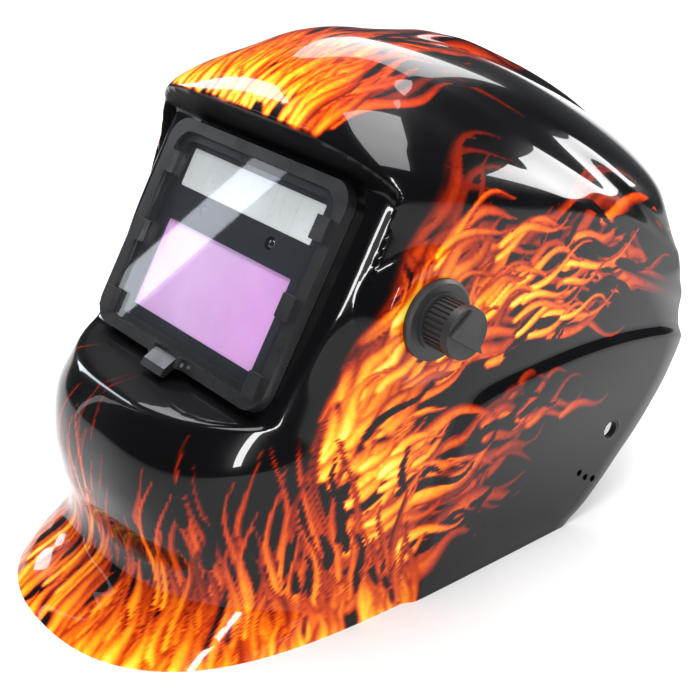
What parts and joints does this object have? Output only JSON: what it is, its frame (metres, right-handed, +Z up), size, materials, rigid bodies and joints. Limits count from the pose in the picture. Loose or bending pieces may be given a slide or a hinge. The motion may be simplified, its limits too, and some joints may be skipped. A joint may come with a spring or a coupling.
{
  "type": "auto-darkening welding helmet",
  "caption": "Welding helmet with a tilted auto-darkening filter in a clip-in frame, side shade knob, and a pivoting headband with crown strap and ratchet.",
  "frame": {"origin": "on the bench plane, on the helmet's mid-plane, 171 mm behind the chin lip and 88 mm ahead of the pivot axis", "axes": "+X towards the wearer's left, -Y the front, +Z up, with the helmet standing on its lower rim"},
  "size_m": [0.2115, 0.3735, 0.2337],
  "materials": {
    "shell": "gloss black with flame graphics",
    "frame_plastic": "satin moulded",
    "clear_lens": "clear polycarbonate",
    "filter_glass": "interference coated, pink sheen",
    "lcd_glass": "dark green liquid crystal panel",
    "solar_cell": "pale solar strip",
    "sensor_lens": "dark domed lens",
    "cartridge_plastic": "fine grain",
    "board": "solder mask green",
    "cell_steel": "plated",
    "dial_plastic": "satin",
    "pin_steel": "ground",
    "screw_steel": "blackened",
    "knob_plastic": "fine matte",
    "pot_metal": "plated",
    "nut_metal": "nickel plated",
    "lead_jacket": "smooth",
    "band_plastic": "satin polyethylene",
    "sweat_cloth": "knitted cotton over foam",
    "arm_plastic": "satin nylon"
  },
  "bodies": {
    "shell": {"helmet_shell": "shell", "lens_frame": "frame_plastic", "cover_lens": "clear_lens", "latch_pin": "pin_steel", "cartridge_front": "cartridge_plastic", "cartridge_rear": "cartridge_plastic", "uv_ir_filter": "filter_glass", "lcd_panel_front": "lcd_glass", "lcd_panel_rear": "lcd_glass", "solar_strip": "solar_cell", "light_sensors": "sensor_lens", "circuit_board": "board", "coin_cells": "cell_steel", "inner_cover_lens": "clear_lens", "cartridge_retainer": "frame_plastic", "retainer_screws": "screw_steel", "knob_base_ring": "knob_plastic", "potentiometer_body": "pot_metal", "potentiometer_nut": "nut_metal", "potentiometer_lead": "lead_jacket"},
    "latch": {"release_latch": "frame_plastic"},
    "sensitivity": {"sensitivity_dial": "dial_plastic"},
    "delay": {"delay_dial": "dial_plastic"},
    "shade": {"shade_knob": "knob_plastic", "potentiometer_shaft": "pot_metal"},
    "headgear": {"headband": "band_plastic", "sweatband": "sweat_cloth", "crown_strap": "band_plastic", "pivot_arm_left": "arm_plastic", "pivot_arm_right": "arm_plastic", "arm_studs": "arm_plastic", "ratchet_housing": "arm_plastic"},
    "ratchet": {"ratchet_knob": "knob_plastic"}
  },
  "joints": [
    {"name": "helmet_flip", "type": "hinge", "parent": "shell", "child": "headgear", "pos_m": [0, 0.088, 0.0455], "axis": [1, 0, 0], "range_deg": [-28, 47]},
    {"name": "latch_turn", "type": "hinge", "parent": "shell", "child": "latch", "pos_m": [0, -0.1003, 0.109], "axis": [1, 0, 0], "range_deg": [-60, 0]},
    {"name": "shade_turn", "type": "hinge", "parent": "shell", "child": "shade", "pos_m": [0.09355, -0.03, 0.1398], "axis": [1, 0, 0], "range_deg": [-135, 135]},
    {"name": "sensitivity_turn", "type": "hinge", "parent": "shell", "child": "sensitivity", "pos_m": [0.03, -0.0484, 0.1634], "axis": [0, 0.8536, -0.521], "range_deg": [-135, 135]},
    {"name": "delay_turn", "type": "hinge", "parent": "shell", "child": "delay", "pos_m": [-0.03, -0.0484, 0.1634], "axis": [0, 0.8536, -0.521], "range_deg": [-135, 135]},
    {"name": "ratchet_turn", "type": "hinge", "parent": "headgear", "child": "ratchet", "pos_m": [0, 0.1779, 0.0363], "axis": [0, 0.9627, -0.2706], "continuous": true}
  ]
}
